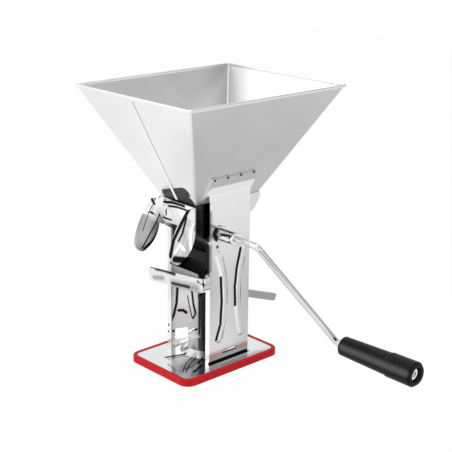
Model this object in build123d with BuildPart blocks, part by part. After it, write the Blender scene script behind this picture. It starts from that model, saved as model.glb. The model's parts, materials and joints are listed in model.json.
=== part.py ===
from build123d import *
import os
from math import atan2, cos, degrees, hypot, radians, sin, tan

# Hand-cranked tomato strainer on a vacuum base.
# Millimetres. +Z is up, +X points along the axle to the crank side, -Y is the front.
# The origin lies on the table, under the middle of the two side plates.

os.makedirs("parts", exist_ok=True)

# ---------------------------------------------------------------- driving sizes
contact_gap = 0.05          # gap between faces that are welded or clamped together
running_gap = 0.3           # gap between pieces that move past each other
shaft_clearance = 0.06      # radial clearance of a shaft in its bore

# hopper
rim_x = 210.0               # rim, across the machine
rim_y = 252.0               # rim, front to back
rim_z = 352.0               # height of the sheet's upper edge
rim_bead = 3.2              # rolled edge
hopper_wall = 0.8
outlet_x = 64.0             # outlet, across
outlet_y = 107.0            # outlet, front to back
outlet_z = 216.0            # where the slopes end
neck_depth = 5.0            # straight collar under the slopes
hopper_shift_y = 3.5        # hopper centre behind the plates' centre
hopper_corner = 3.0         # corner radius of the folded sheet
seam_width = 5.0            # lap of the two halves
seam_thickness = 0.7

# side plates
plate_outer = 40.0          # outer face of each plate from the middle
plate_wall = 1.5
plate_half_y = 33.5
flange_top_z = 208.0
tab_height = 24.0           # tab that lies on the hopper's slope
tab_front = 8.0             # the tab reaches this far in front of the plate
tab_back = 2.0              # and this far behind it
tab_corner = 6.0
weld_pitch = 21.5
weld_height = 0.92          # the welds' place up the tab, as a share of its height
weld_radius = 1.9
rib_width = 11.0
rib_height = 1.6
rib_slope = 66.0            # degrees that the rib's flanks lean out of the square
front_rib_y = (-20.0, -8.5, -17.5)      # top, middle and low end of each curved rib
back_rib_y = (24.0, 14.0, 21.0)
rib_low_z = 38.0
rib_mid_z = 100.0
rib_high_z = 150.0
foot_length = 8.6           # foot flange turned in on the base
slot_length = 23.0
slot_height = 3.0
slot_y = 1.5
low_hole = (25.0, 28.5)          # front to back, and up
low_hole_radius = 1.6
high_hole = (-21.0, 161.0)
high_hole_radius = 2.2
slot_z = 19.0
rivet_radius = 2.1
foot_rivet_pitch = 20.0

# axle, rotor and screen
axle_y = -17.0
axle_z = 177.0
rotor_radius = 27.2
rotor_core_radius = 12.0
rotor_side_gap = 1.5        # between the rotor's ends and the chamber walls
paddle_count = 3
paddle_wall = 3.0
paddle_root = 4.0           # depth of a paddle in the core
screen_radius = 28.0
screen_wall = 0.8
screen_length = 62.6
screen_hole = 3.0
screen_rows = 11                 # rows of holes round the drum
screen_first_row = -12.0         # degrees below level of the first row
screen_plain_edge = 4.0          # sheet without holes at each end of the drum
screen_low_angle = -80.0         # degrees of a point near the drum's lowest line
screen_lip_low_z = 139.5         # lower end of the front lip
screen_pitch = 5.2
tube_radius = 8.0           # drive tube that carries the crank
tube_end_x = 70.0
crimp_radius = 1.6              # two punched dots that hold the crank rod in the tube
crimp_pitch = 5.4
crimp_inset = 5.0
tube_socket = 9.0           # depth of the tube in the rotor core
stub_radius = 5.0
stub_end_x = 46.5
bush_wall = 1.6
bush_flange_radius = 10.6
bush_flange = 2.6

# chamber
chamber_half = 32.0
chamber_wall = 1.0
chamber_low_z = 136.0
chamber_back_y = 17.0
chamber_front_y = -32.0
front_wall_low_z = 181.0
throat_z = 179.0            # back slope meets the screen here
shoulder_z = 198.0          # the back slope steepens here
shoulder_in = 9.0           # and this far in front of the outlet's back edge
front_step = 11.0           # the side walls step back this far below the front wall
tie_radius = 2.4
tie_front_z = 142.5

# splash hood
hood_wall = 1.0
hood_rivet_x = 46.0         # spacing of the hood's rivets, across and up
hood_rivet_z = 14.0
hood_rivet_drop = 16.0      # their middle lies this far below the outlet
cheek_reach = 41.0          # cheeks stand this far in front of the front wall
cheek_low_z = 149.5
cheek_mid_z = 190.0

# juice chute and trough
chute_wall = 1.0
chute_back_z = 135.0
chute_front_z = 124.0
chute_side = 7.0
trough_near_x = 45.0
trough_length = 105.0
trough_width = 16.0
trough_depth = 21.0
trough_wall = 1.0
trough_rim_z = 122.0        # front rim at the middle of the machine
trough_fall = 5.9           # degrees down towards the spout
trough_corner = 7.0
trough_end_corner = 5.0     # upright corners of the closed end
trough_end_round = 15.0     # the floor curls up into the closed end
spout_round = 13.0          # the open end is cut back below
trough_back_drop = 6.0      # the back wall stops this far below the rim

# crank
rod_radius = 4.0
crank_bend_x = 104.5
arm_drop_y = 83.0           # the arm ends this far behind the axle
arm_drop_z = 128.0          # and this far below it
arm_out_x = 60.0            # and this much further out
crank_bend_radius = 11.0
grip_length = 112.0
grip_start_gap = 9.5        # bare rod between the bend and the grip
grip_inner_radius = 12.0
grip_outer_radius = 15.3
grip_wall_end = 6.0         # recess in the outer end
grip_recess_radius = 9.0

# base
base_x = 114.0
base_y = 160.0
base_shift_x = 5.0
base_shift_y = -9.0
base_corner = 14.0
gasket_wall = 6.0
gasket_height = 8.6
gasket_grip = 3.0           # the plate's edge sits this deep in the rubber
base_plate_z = 6.5          # underside of the base plate
base_plate_wall = 1.5
dome_radius = 31.0
dome_top_radius = 22.0
dome_height = 8.0

# vacuum cup and lever
cup_radius = 44.0
cup_wall = 2.0
cup_rim = 5.0              # width of the cup's thick rim
pull_y = -6.0
pull_radius = 5.0
foot_radius = 15.0
foot_thickness = 3.0
foot_z = 8.5
lever_wall = 4.0
lever_height = 10.0
lever_tip_y = 122.5
lever_tip_z = 47.5
fulcrum_y = 27.5
fulcrum_z = 81.8
fulcrum_radius = 3.0
lever_pin_radius = 2.5
lever_tail = 9.0            # lever beyond the pull rod's pin
clevis_x = 13.0
clevis_y = 12.0
clevis_above = 7.0

# ---------------------------------------------------------------- derived places
plate_inner = plate_outer - plate_wall
rotor_length = 2 * (chamber_half - rotor_side_gap)
plate_flange = plate_outer - chamber_half - chamber_wall - 2 * contact_gap
hopper_y0 = hopper_shift_y - outlet_y / 2
hopper_y1 = hopper_shift_y + outlet_y / 2
side_slope = (rim_x - outlet_x) / 2 / (rim_z - outlet_z)
front_slope = (rim_y - outlet_y) / 2 / (rim_z - outlet_z)
plate_low_z = base_plate_z + base_plate_wall + contact_gap
base_top_z = base_plate_z + base_plate_wall
chamber_front_wall_y = hopper_y0 - contact_gap
grip_y = axle_y + arm_drop_y
grip_z = axle_z - arm_drop_z
arm_end_x = crank_bend_x + arm_out_x
grip_x0 = arm_end_x + grip_start_gap
grip_x1 = grip_x0 + grip_length
lever_slope = (fulcrum_z - lever_tip_z) / (lever_tip_y - fulcrum_y)
lever_angle = degrees(atan2(fulcrum_z - lever_tip_z, lever_tip_y - fulcrum_y))
pull_pin_z = fulcrum_z + lever_slope * (fulcrum_y - pull_y)


def side_x(z):
    """Outer face of the hopper's side slope at height z."""
    return outlet_x / 2 + side_slope * (z - outlet_z)


def finish(piece, name):
    """Label a piece and write its STEP file."""
    piece.label = name
    export_step(piece, f"parts/{name}.step")


# ---------------------------------------------------------------- hopper
def hopper_half(side, name):
    """One half of the square hopper, cut along the middle, with its rolled rim."""
    with BuildPart() as half:
        with BuildSketch(Plane.XY.offset(outlet_z)) as low:
            with Locations((0, hopper_shift_y)):
                RectangleRounded(outlet_x, outlet_y, hopper_corner)
        with BuildSketch(Plane.XY.offset(rim_z)) as high:
            with Locations((0, hopper_shift_y)):
                RectangleRounded(rim_x, rim_y, hopper_corner)
        loft(ruled=True)
        inner_wall = 2 * hopper_wall
        with BuildSketch(Plane.XY.offset(outlet_z)) as low_inside:
            with Locations((0, hopper_shift_y)):
                RectangleRounded(outlet_x - inner_wall, outlet_y - inner_wall,
                                 hopper_corner - hopper_wall)
        with BuildSketch(Plane.XY.offset(rim_z)) as high_inside:
            with Locations((0, hopper_shift_y)):
                RectangleRounded(rim_x - inner_wall, rim_y - inner_wall,
                                 hopper_corner - hopper_wall)
        loft(ruled=True, mode=Mode.SUBTRACT)
        with BuildSketch(Plane.XY.offset(outlet_z)) as collar:
            with Locations((0, hopper_shift_y)):
                RectangleRounded(outlet_x, outlet_y, hopper_corner)
                RectangleRounded(outlet_x - inner_wall, outlet_y - inner_wall,
                                 hopper_corner - hopper_wall, mode=Mode.SUBTRACT)
        extrude(amount=-neck_depth)
        with BuildSketch(Plane.XY.offset(rim_z - rim_bead / 2)) as bead:
            with Locations((0, hopper_shift_y)):
                RectangleRounded(rim_x + rim_bead, rim_y + rim_bead, hopper_corner + rim_bead / 2)
                RectangleRounded(rim_x - rim_bead, rim_y - rim_bead,
                                 hopper_corner - rim_bead / 2, mode=Mode.SUBTRACT)
        extrude(amount=rim_bead)
        bead_edges = half.edges().filter_by_position(
            Axis.Z, rim_z + rim_bead / 2 - 0.01, rim_z + rim_bead / 2 + 0.01)
        fillet(bead_edges, rim_bead * 0.4)
        with Locations((-side * rim_x, hopper_shift_y, rim_z / 2)):
            Box(2 * rim_x, 2 * rim_y, 2 * rim_z, mode=Mode.SUBTRACT)
    finish(half.part, name)


hopper_half(-1, "hopper_left_half")
hopper_half(1, "hopper_right_half")


def hopper_seam(end, name):
    """Lap strip that covers the joint of the halves on the front or back slope."""
    edge_y = hopper_shift_y + end * outlet_y / 2
    tilt = degrees(atan2(front_slope, 1))
    face = Plane(origin=(0, edge_y, outlet_z), x_dir=(1, 0, 0),
                 z_dir=(0, end * cos(radians(tilt)), -sin(radians(tilt))))
    run = (rim_z - rim_bead - outlet_z) / cos(radians(tilt))
    with BuildPart() as strip:
        with BuildSketch(face.offset(contact_gap)):
            with Locations((0, (1 if face.y_dir.Z > 0 else -1) * (run / 2 + 1))):
                RectangleRounded(seam_width, run - 4, seam_width * 0.3)
        extrude(amount=seam_thickness)
    finish(strip.part, name)


hopper_seam(-1, "hopper_front_seam")
hopper_seam(1, "hopper_back_seam")


# ---------------------------------------------------------------- side plates
def side_plate(side, name):
    """Stamped plate with stiffening flanges, pressed ribs, a foot and the hopper tab."""
    tilt = atan2(side_slope, 1)
    gap_x = contact_gap / cos(tilt)
    tab_x = (plate_wall + contact_gap) / cos(tilt)
    z_inner = outlet_z + (plate_inner - outlet_x / 2 - gap_x) / side_slope
    z_outer = outlet_z + (plate_outer - outlet_x / 2 - tab_x) / side_slope
    tab_top = z_inner + tab_height
    bush_bore = (tube_radius if side > 0 else stub_radius) + bush_wall + shaft_clearance
    with BuildPart() as plate:
        with BuildSketch(Plane.XZ):
            with BuildLine():
                Polyline((plate_inner, plate_low_z), (plate_outer, plate_low_z),
                         (plate_outer, z_outer), (plate_inner, z_inner), close=True)
            make_face()
        extrude(amount=plate_half_y, both=True)
        with BuildSketch(Plane.XZ):
            with BuildLine():
                Polyline((plate_inner, z_inner), (side_x(tab_top) + gap_x, tab_top),
                         (side_x(tab_top) + gap_x + plate_wall * cos(tilt),
                          tab_top - plate_wall * sin(tilt)),
                         (plate_outer, z_outer), close=True)
            make_face()
        extrude(amount=plate_half_y + tab_front, both=True)
        behind_tab = plate_half_y + tab_back + 2 * tab_height
        with Locations((plate_outer + tab_height, behind_tab, z_inner + tab_height)):
            Box(4 * tab_height, 4 * tab_height, 3 * tab_height, mode=Mode.SUBTRACT)
        tab_corners = [edge for edge in plate.edges().filter_by(GeomType.LINE)
                       if edge.center().Z > tab_top - plate_wall and edge.length < 2 * plate_wall]
        fillet(tab_corners, tab_corner)
        flange_x = plate_outer - plate_flange / 2
        for end in (-1, 1):
            with Locations((flange_x, end * (plate_half_y - plate_wall / 2),
                            (plate_low_z + flange_top_z) / 2)):
                Box(plate_flange, plate_wall, flange_top_z - plate_low_z)
        with Locations((plate_outer - foot_length / 2, 0, plate_low_z + plate_wall / 2)):
            Box(foot_length, 2 * plate_half_y - 6 * plate_wall, plate_wall)
        outside = Plane(origin=(plate_outer, 0, 0), x_dir=(0, 1, 0), z_dir=(1, 0, 0))
        for top, middle, low in (front_rib_y, back_rib_y):
            arc = ThreePointArc((top, rib_high_z), (middle, rib_mid_z), (low, rib_low_z),
                                mode=Mode.PRIVATE)
            with BuildSketch(outside):
                SlotArc(arc, rib_width)
            extrude(amount=rib_height, taper=rib_slope)
        with BuildSketch(outside):
            with Locations((axle_y, axle_z)):
                Circle(bush_bore)
            with Locations((slot_y, slot_z)):
                SlotOverall(slot_length, slot_height)
            with Locations(low_hole):
                Circle(low_hole_radius)
            with Locations(high_hole):
                Circle(high_hole_radius)
        extrude(amount=-2 * plate_wall, mode=Mode.SUBTRACT)
        if side < 0:
            mirror(about=Plane.YZ, mode=Mode.REPLACE)
    finish(plate.part, name)


side_plate(-1, "left_side_plate")
side_plate(1, "right_side_plate")


def tab_welds():
    """Spot welds of the tabs on the hopper, four on each side."""
    tilt = atan2(side_slope, 1)
    z = outlet_z + (plate_inner - outlet_x / 2) / side_slope + tab_height * weld_height
    x = side_x(z) + (plate_wall + 2 * contact_gap) / cos(tilt)
    with BuildPart() as welds:
        for side in (-1, 1):
            face = Plane(origin=(side * x, 0, z), x_dir=(0, 1, 0),
                         z_dir=(side * cos(tilt), 0, -sin(tilt)))
            with BuildSketch(face):
                with Locations((-(tab_front + tab_back) / 2, 0)):
                    with GridLocations(weld_pitch, 0, 4, 1):
                        Circle(weld_radius)
            extrude(amount=0.7, taper=35)
    finish(welds.part, "tab_welds")


tab_welds()


# ---------------------------------------------------------------- chamber
def chamber_shell():
    """Sheet box under the hopper: two side walls, a front wall and a sloped back."""
    front = chamber_front_wall_y
    back = hopper_y1 + contact_gap
    inner = chamber_half + contact_gap
    walls = [(front, outlet_z), (front, front_wall_low_z), (chamber_front_y, front_wall_low_z - front_step),
             (chamber_front_y, chamber_low_z), (chamber_back_y, chamber_low_z),
             (chamber_back_y, throat_z), (hopper_y1 - shoulder_in, shoulder_z),
             (back, outlet_z - neck_depth),
             (back, outlet_z)]
    with BuildPart() as shell:
        for side in (-1, 1):
            start = Plane(origin=(side * inner, 0, 0), x_dir=(0, 1, 0), z_dir=(1, 0, 0))
            with BuildSketch(start):
                with BuildLine():
                    Polyline(*walls, close=True)
                make_face()
            extrude(amount=side * chamber_wall)
        with Locations((0, front - chamber_wall / 2, (outlet_z + front_wall_low_z) / 2)):
            Box(2 * (inner + chamber_wall), chamber_wall, outlet_z - front_wall_low_z)
        with BuildSketch(Plane.YZ):
            with BuildLine():
                Polyline((back, outlet_z), (back, outlet_z - neck_depth),
                         (hopper_y1 - shoulder_in, shoulder_z),
                         (chamber_back_y, throat_z), (chamber_back_y, throat_z - chamber_wall),
                         (hopper_y1 - shoulder_in + 0.6 * chamber_wall, shoulder_z - chamber_wall),
                         (back + chamber_wall, outlet_z - neck_depth - 0.4 * chamber_wall),
                         (back + chamber_wall, outlet_z), close=True)
            make_face()
        extrude(amount=inner + chamber_wall, both=True)
        with Locations(Location((0, axle_y, axle_z), (0, 90, 0))):
            Cylinder(tube_radius + bush_wall, 4 * chamber_half, mode=Mode.SUBTRACT)
    finish(shell.part, "chamber_shell")


chamber_shell()


def tie_bars():
    """Two cross bars between the chamber walls: the screen rests on them."""
    with BuildPart() as bars:
        front_y = chamber_front_y + screen_wall + tie_radius + contact_gap
        back_y = chamber_back_y - tie_radius - 0.2
        back_z = axle_z - screen_wall - tie_radius - contact_gap
        for y, z in ((front_y, tie_front_z), (back_y, back_z)):
            with Locations(Location((0, y, z), (0, 90, 0))):
                Cylinder(tie_radius, 2 * chamber_half)
    finish(bars.part, "tie_bars")


tie_bars()


def strainer_screen():
    """Half drum of perforated sheet under the rotor, with two turned edges."""
    outer = screen_radius + screen_wall
    front_y = chamber_front_y
    front_wall_y = front_y + screen_wall
    back_y = chamber_back_y - contact_gap
    low_z = axle_z - screen_wall
    reach = front_y - axle_y
    wall_reach = front_wall_y - axle_y
    inside_end = (front_y, axle_z - (screen_radius ** 2 - reach ** 2) ** 0.5)
    outside_end = (front_wall_y, axle_z - (outer ** 2 - wall_reach ** 2) ** 0.5)
    inside_start = (axle_y + screen_radius, axle_z)
    outside_start = (axle_y + (outer ** 2 - screen_wall ** 2) ** 0.5, low_z)
    low_angle = radians(screen_low_angle)
    inside_low = (axle_y + screen_radius * cos(low_angle), axle_z + screen_radius * sin(low_angle))
    outside_low = (axle_y + outer * cos(low_angle), axle_z + outer * sin(low_angle))
    with BuildPart() as screen:
        with BuildSketch(Plane.YZ):
            with BuildLine():
                ThreePointArc(inside_start, inside_low, inside_end)
                Polyline(inside_end, (front_y, screen_lip_low_z),
                         (front_wall_y, screen_lip_low_z), outside_end)
                ThreePointArc(outside_end, outside_low, outside_start)
                Polyline(outside_start, (back_y, low_z), (back_y, axle_z), inside_start)
            make_face()
        extrude(amount=screen_length / 2, both=True)
        turn = degrees(screen_pitch / screen_radius)
        columns = int((screen_length - 2 * screen_plain_edge) / screen_pitch)
        places = []
        for row in range(screen_rows):
            angle = screen_first_row - row * turn
            for column in range(columns):
                x = (column - (columns - 1) / 2) * screen_pitch
                y = axle_y + screen_radius * cos(radians(angle))
                z = axle_z + screen_radius * sin(radians(angle))
                places.append(Location((x, y, z), (-90 + angle, 0, 0)))
        with Locations(*places):
            Cylinder(screen_hole / 2, 6 * screen_wall, mode=Mode.SUBTRACT)
    finish(screen.part, "strainer_screen")


strainer_screen()


# ---------------------------------------------------------------- rotor and axle
def rotor_core():
    """Moulded core with a slot for each paddle and a socket at each end."""
    with BuildPart() as core:
        with Locations(Location((0, axle_y, axle_z), (0, 90, 0))):
            Cylinder(rotor_core_radius, rotor_length)
        chamfer(core.edges().filter_by(GeomType.CIRCLE), 1.0)
        with Locations(Location((rotor_length / 2, axle_y, axle_z), (0, 90, 0))):
            Cylinder(tube_radius + contact_gap, 2 * tube_socket, mode=Mode.SUBTRACT)
        with Locations(Location((-rotor_length / 2, axle_y, axle_z), (0, 90, 0))):
            Cylinder(stub_radius + contact_gap, 2 * tube_socket, mode=Mode.SUBTRACT)
        for index in range(paddle_count):
            turn = -90 + index * 360 / paddle_count
            slot = Plane(origin=(0, axle_y, axle_z), x_dir=(1, 0, 0),
                         z_dir=(0, cos(radians(turn)), sin(radians(turn))))
            with BuildSketch(slot.offset(rotor_core_radius - paddle_root)):
                Rectangle(rotor_length - 2 * tube_socket - 8, paddle_wall + 2 * contact_gap)
            extrude(amount=2 * paddle_root, mode=Mode.SUBTRACT)
    finish(core.part, "rotor_core")


rotor_core()


def rotor_paddles():
    """Wiper paddles: a narrow root in the core and a wide blade outside it."""
    root_length = rotor_length - 2 * tube_socket - 8 - 2 * contact_gap
    with BuildPart() as paddles:
        for index in range(paddle_count):
            turn = -90 + index * 360 / paddle_count
            blade = Plane(origin=(0, axle_y, axle_z), x_dir=(1, 0, 0),
                          z_dir=(0, cos(radians(turn)), sin(radians(turn))))
            with BuildSketch(blade.offset(rotor_core_radius - paddle_root + contact_gap)):
                Rectangle(root_length, paddle_wall)
            extrude(amount=paddle_root + 1)
            with BuildSketch(blade.offset(rotor_core_radius + 2 * contact_gap)):
                Rectangle(rotor_length, paddle_wall)
            extrude(amount=rotor_radius - rotor_core_radius - 2 * contact_gap)
    finish(paddles.part, "rotor_paddles")


rotor_paddles()


def drive_tube():
    """Tube from the rotor core out through the right plate, crimped on the crank rod."""
    start = rotor_length / 2 - tube_socket + contact_gap
    with BuildPart() as tube:
        with Locations(Location(((start + tube_end_x) / 2, axle_y, axle_z), (0, 90, 0))):
            Cylinder(tube_radius, tube_end_x - start)
        fillet(tube.edges().filter_by(GeomType.CIRCLE).sort_by(Axis.X)[-1], 1.2)
        bore_length = tube_end_x - plate_outer + 6
        with Locations(Location((tube_end_x - bore_length / 2, axle_y, axle_z), (0, 90, 0))):
            Cylinder(rod_radius + contact_gap, bore_length + 0.001, mode=Mode.SUBTRACT)
        crimp_y = axle_y - tube_radius - 0.25 * crimp_radius
        for side in (-1, 1):
            with Locations((tube_end_x - crimp_inset, crimp_y, axle_z + side * crimp_pitch / 2)):
                Sphere(crimp_radius, mode=Mode.SUBTRACT)
    finish(tube.part, "drive_tube")


drive_tube()


def axle_stub():
    """Short steel stub that carries the rotor in the left plate."""
    start = rotor_length / 2 - tube_socket + contact_gap
    with BuildPart() as stub:
        with BuildSketch(Plane(origin=(-start, axle_y, axle_z), z_dir=(-1, 0, 0))):
            Circle(stub_radius)
        extrude(amount=stub_end_x - start)
        chamfer(stub.edges().filter_by(GeomType.CIRCLE).sort_by(Axis.X)[0], 0.8)
        with BuildSketch(Plane(origin=(-stub_end_x + 1.6, axle_y, axle_z), z_dir=(1, 0, 0))):
            Circle(stub_radius + 1)
            Circle(stub_radius - 0.8, mode=Mode.SUBTRACT)
        extrude(amount=1.2, mode=Mode.SUBTRACT)
    finish(stub.part, "axle_stub")


axle_stub()


def bush(side, radius, name):
    """Flanged plastic bush that lines the hole of a side plate."""
    outer_face = side * plate_outer
    outward = Plane(origin=(outer_face, axle_y, axle_z), z_dir=(side, 0, 0))
    with BuildPart() as liner:
        with BuildSketch(outward.offset(contact_gap)):
            Circle(bush_flange_radius)
        extrude(amount=bush_flange)
        fillet(liner.edges().filter_by(GeomType.CIRCLE).sort_by(Axis.X)[-1 if side > 0 else 0], 1.0)
        with BuildSketch(outward.offset(contact_gap)):
            Circle(radius + bush_wall)
        extrude(amount=-plate_wall - 2.5)
        with BuildSketch(outward.offset(-10)):
            Circle(radius + shaft_clearance)
        extrude(amount=30, mode=Mode.SUBTRACT)
    finish(liner.part, name)


bush(-1, stub_radius, "left_bush")
bush(1, tube_radius, "right_bush")


def retaining_ring():
    """Spring ring in the groove of the stub, outside the left bush."""
    with BuildPart() as ring:
        with BuildSketch(Plane(origin=(-stub_end_x + 1.7, axle_y, axle_z), z_dir=(1, 0, 0))):
            Circle(stub_radius + 3)
            Circle(stub_radius - 0.75, mode=Mode.SUBTRACT)
            with Locations((0, -stub_radius)):
                Rectangle(5, 2 * stub_radius, mode=Mode.SUBTRACT)
        extrude(amount=1.0)
    finish(ring.part, "retaining_ring")


retaining_ring()


# ---------------------------------------------------------------- splash hood
def splash_hood():
    """Front panel with two leaf-shaped cheeks that stand forward and down."""
    back = chamber_front_wall_y - chamber_wall - contact_gap
    front = back - hood_wall
    tip = back - cheek_reach
    inner = chamber_half + chamber_wall + 2 * contact_gap
    with BuildPart() as hood:
        with BuildSketch(Plane.YZ.offset(inner)):
            with BuildLine():
                ThreePointArc((front - 12, outlet_z - 1), (tip + 8, cheek_mid_z),
                              (tip, cheek_low_z + 19))
                ThreePointArc((tip, cheek_low_z + 19), (tip + 4, cheek_low_z + 5),
                              (tip + 14, cheek_low_z))
                ThreePointArc((tip + 14, cheek_low_z), (tip + 31, cheek_low_z + 11),
                              (front, front_wall_low_z))
                Polyline((front, front_wall_low_z), (back + 8, front_wall_low_z),
                         (back + 8, outlet_z - 6), (front, outlet_z - 1),
                         (front - 12, outlet_z - 1))
            make_face()
        extrude(amount=hood_wall)
        line = ThreePointArc((front - 4, front_wall_low_z + 20), (tip + 26, cheek_low_z + 27),
                             (tip + 9, cheek_low_z + 6), mode=Mode.PRIVATE)
        with BuildSketch(Plane.YZ.offset(inner + hood_wall)):
            SlotArc(line, 2.6)
        extrude(amount=0.7, taper=30)
        mirror(about=Plane.YZ)
        with Locations((0, front + hood_wall / 2, (front_wall_low_z + outlet_z - 1) / 2)):
            Box(2 * (inner + hood_wall), hood_wall, outlet_z - 1 - front_wall_low_z)
        with BuildSketch(Plane.XZ.offset(-front + 2 * hood_wall)):
            with Locations((0, front_wall_low_z)):
                Ellipse(chamber_half - 6, 5)
        extrude(amount=-6 * hood_wall, mode=Mode.SUBTRACT)
    finish(hood.part, "splash_hood")


splash_hood()


def hood_rivets():
    """Four rivets that hold the hood on the front wall."""
    face_y = chamber_front_wall_y - chamber_wall - 2 * contact_gap - hood_wall
    with BuildPart() as rivets:
        face = Plane(origin=(0, face_y, outlet_z - hood_rivet_drop), x_dir=(1, 0, 0),
                     z_dir=(0, -1, 0))
        with BuildSketch(face):
            with GridLocations(hood_rivet_x, hood_rivet_z, 2, 2):
                Circle(rivet_radius)
        extrude(amount=1.0, taper=35)
    finish(rivets.part, "hood_rivets")


hood_rivets()


# ---------------------------------------------------------------- juice chute and trough
def juice_chute():
    """Sloping channel under the screen that leads the juice to the front."""
    half = chamber_half - contact_gap
    back_y = chamber_back_y - 1
    front_y = -plate_half_y - 3
    slope = (chute_back_z - chute_front_z) / (back_y - front_y)
    drop = chute_wall
    with BuildPart() as chute:
        with BuildSketch(Plane.YZ):
            with BuildLine():
                Polyline((front_y, chute_front_z), (back_y, chute_back_z),
                         (back_y, chute_back_z + chute_side), (back_y - chute_wall,
                         chute_back_z + chute_side), (back_y - chute_wall, chute_back_z + drop),
                         (front_y, chute_front_z + drop), close=True)
            make_face()
        extrude(amount=half, both=True)
        for side in (-1, 1):
            with BuildSketch(Plane.YZ.offset(side * (half - chute_wall / 2))):
                with BuildLine():
                    Polyline((front_y, chute_front_z), (back_y, chute_back_z),
                             (back_y, chute_back_z + chute_side),
                             (chamber_front_y, chute_front_z + chute_side + 6),
                             (front_y, chute_front_z + 4), close=True)
                make_face()
            extrude(amount=chute_wall / 2, both=True)
    finish(chute.part, "juice_chute")


juice_chute()


def trough_block(inset):
    """Solid block with the trough's outline, set in from its walls and its near end."""
    back = -plate_half_y - contact_gap
    fall = radians(trough_fall)
    start_x = trough_near_x - inset
    near_z = trough_rim_z + start_x * tan(fall)
    section = Plane(origin=(start_x, back, near_z), x_dir=(0, 1, 0), z_dir=(cos(fall), 0, sin(fall)))
    side_view = Plane(origin=(start_x, back, near_z), x_dir=(cos(fall), 0, sin(fall)),
                      z_dir=(0, -1, 0))
    left = inset - trough_width
    top = 5 * inset
    low = inset - trough_depth
    far = -trough_length - inset
    with BuildPart() as block:
        with BuildSketch(section):
            with BuildLine():
                FilletPolyline((left, top), (left, low), (-inset, low), (-inset, top),
                               radius=trough_corner - inset)
                Line((-inset, top), (left, top))
            make_face()
        extrude(amount=far)
        near_end = block.faces().sort_by(Axis.X)[-1]
        fillet(near_end.edges().filter_by(GeomType.LINE).sort_by(Axis.Z)[1:3],
               trough_end_corner - inset)
        with BuildSketch(side_view):
            with BuildLine():
                FilletPolyline((far, low), (0, low), (0, top + trough_wall),
                               radius=trough_end_round - inset)
                Polyline((0, top + trough_wall), (far, top + trough_wall), (far, low))
            make_face()
        extrude(amount=2 * trough_width, both=True, mode=Mode.INTERSECT)
    return block.part


def juice_trough():
    """Cross trough in front of the plates, closed at the crank side, open at the spout."""
    fall = radians(trough_fall)
    far_x = trough_near_x - trough_length * cos(fall)
    spout_view = Plane(origin=(far_x, -plate_half_y, trough_rim_z + far_x * tan(fall)),
                       x_dir=(cos(fall), 0, sin(fall)), z_dir=(0, -1, 0))
    low = -trough_depth
    with BuildPart() as trough:
        add(trough_block(0))
        add(trough_block(trough_wall), mode=Mode.SUBTRACT)
        with Locations(Location((0, -plate_half_y, trough_rim_z), (0, -trough_fall, 0))):
            Box(3 * trough_length, 3 * trough_wall, 2 * trough_back_drop, mode=Mode.SUBTRACT)
        with BuildSketch(spout_view):
            with Locations((0, low)):
                Rectangle(2 * spout_round, 2 * spout_round)
            with Locations((spout_round, low + spout_round - 2 * trough_wall)):
                Circle(spout_round, mode=Mode.SUBTRACT)
        extrude(amount=2 * trough_width, both=True, mode=Mode.SUBTRACT)
    finish(trough.part, "juice_trough")


juice_trough()


def trough_rivets():
    """Rivets through the trough's back wall and the plates' front flanges."""
    with BuildPart() as rivets:
        for side in (-1, 1):
            x = side * (plate_inner - rivet_radius - 0.5)
            z = trough_rim_z + x * tan(radians(trough_fall)) - 11
            inside_y = -plate_half_y + plate_wall + contact_gap
            with BuildSketch(Plane(origin=(x, inside_y, z), z_dir=(0, 1, 0))):
                Circle(rivet_radius)
            extrude(amount=1.2, taper=30)
    finish(rivets.part, "trough_rivets")


trough_rivets()


# ---------------------------------------------------------------- crank
def crank_rod():
    """Bent steel rod: axle end in the tube, sloping arm, and the spindle of the grip."""
    start_x = plate_outer - 5
    end_x = grip_x1 - grip_wall_end + 1.5
    with BuildPart() as rod:
        with BuildLine() as path:
            FilletPolyline((start_x, axle_y, axle_z), (crank_bend_x, axle_y, axle_z),
                           (arm_end_x, grip_y, grip_z), (end_x, grip_y, grip_z),
                           radius=crank_bend_radius)
        with BuildSketch(Plane(origin=(start_x, axle_y, axle_z), z_dir=(1, 0, 0))):
            Circle(rod_radius)
        sweep()
    finish(rod.part, "crank_rod")


crank_rod()


def crank_grip():
    """Tapered plastic grip that turns on the rod, with a ring and a recessed end."""
    ring_x = grip_length * 0.64
    bore = rod_radius + 0.09
    with BuildPart() as grip:
        with BuildSketch(Plane.XY):
            with BuildLine():
                Polyline((0, bore), (0, grip_inner_radius - 1.5), (1.5, grip_inner_radius),
                         (ring_x, grip_outer_radius - 1.3), (ring_x + 2, grip_outer_radius - 0.3),
                         (grip_length - 3, grip_outer_radius), (grip_length, grip_outer_radius - 2.5),
                         (grip_length, grip_recess_radius),
                         (grip_length - grip_wall_end, grip_recess_radius),
                         (grip_length - grip_wall_end, bore), close=True)
            make_face()
        revolve(axis=Axis.X)
    with BuildPart() as placed:
        add(grip.part.moved(Location((grip_x0, grip_y, grip_z))))
    finish(placed.part, "crank_grip")


crank_grip()


def grip_stop(x, thickness, radius, name):
    """Washer pressed on the rod, on one side of the grip."""
    with BuildPart() as washer:
        with BuildSketch(Plane(origin=(x, grip_y, grip_z), z_dir=(1, 0, 0))):
            Circle(radius)
            Circle(rod_radius + 0.01, mode=Mode.SUBTRACT)
        extrude(amount=thickness)
    finish(washer.part, name)


grip_stop(grip_x0 - running_gap - 2, 2.0, rod_radius + 3, "grip_collar")
grip_stop(grip_x1 - grip_wall_end + running_gap, 1.0, grip_recess_radius - 2, "grip_push_nut")


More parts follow.
